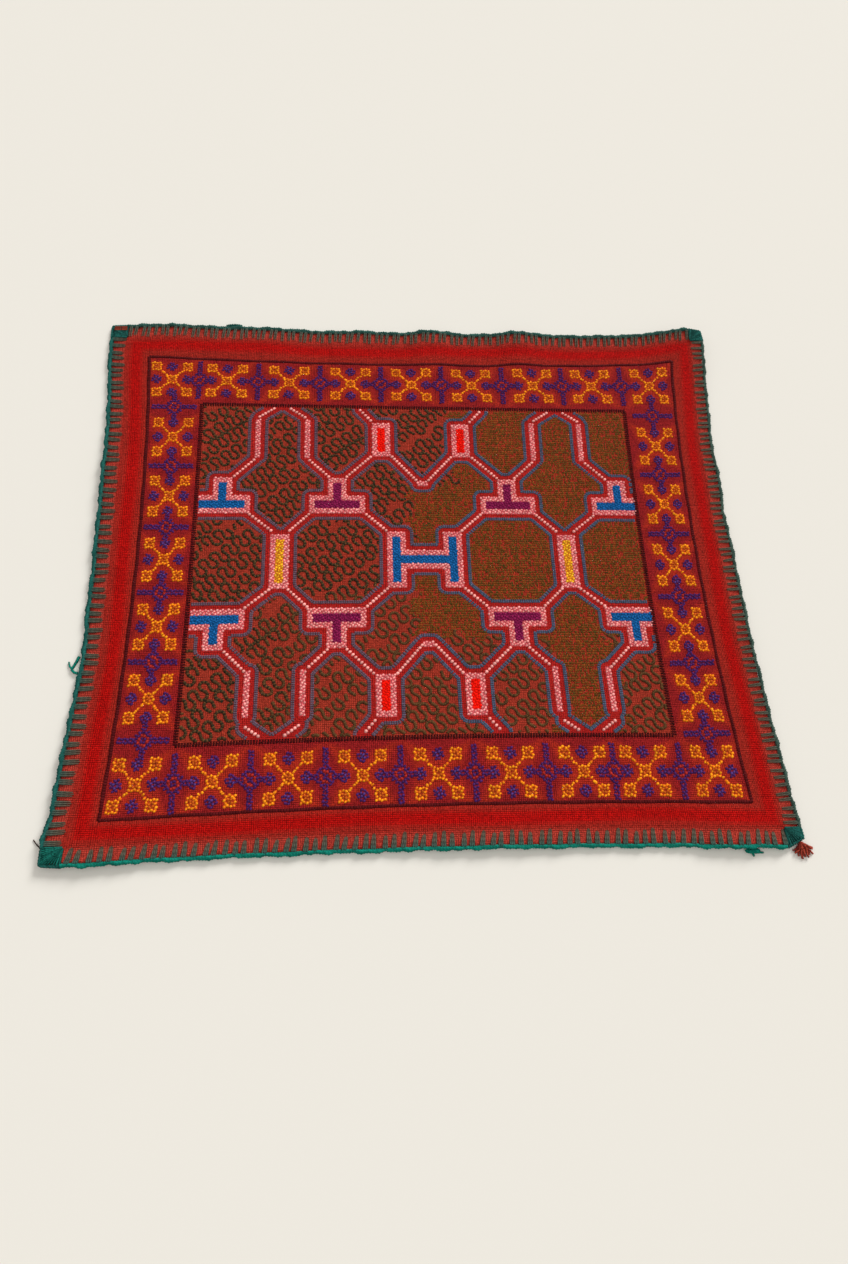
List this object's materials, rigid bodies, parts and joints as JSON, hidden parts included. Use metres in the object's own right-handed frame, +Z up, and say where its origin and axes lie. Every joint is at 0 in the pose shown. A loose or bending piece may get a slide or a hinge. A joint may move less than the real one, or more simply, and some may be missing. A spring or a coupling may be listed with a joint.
{
  "type": "embroidered ceremonial cloth",
  "caption": "Flat woven cloth lying open, with an embroidered panel, a band of star motifs, a plain border and a blanket-stitched yarn edging with a small tassel.",
  "frame": {"origin": "middle of the cloth's underside, on the surface that it lies on", "axes": "+Z up from that surface, +X along the long sides to the right, +Y towards the back edge"},
  "size_m": [0.616, 0.5435, 0.0108],
  "materials": {
    "cloth": "matte cotton, densely cross-stitched",
    "edge_yarn": "matte wool yarn",
    "tassel_yarn": "matte frayed yarn",
    "dark_thread": "matte thread"
  },
  "bodies": {
    "root": {"cloth": "cloth", "edging_back": "edge_yarn", "edging_front": "edge_yarn", "edging_left": "edge_yarn", "edging_right": "edge_yarn", "corner_back_left": "edge_yarn", "corner_back_right": "edge_yarn", "corner_front_left": "edge_yarn", "corner_front_right": "edge_yarn", "tassel": "tassel_yarn", "yarn_knot": "edge_yarn", "yarn_tuft": "edge_yarn", "yarn_lump": "edge_yarn", "loose_thread": "dark_thread"}
  },
  "joints": []
}
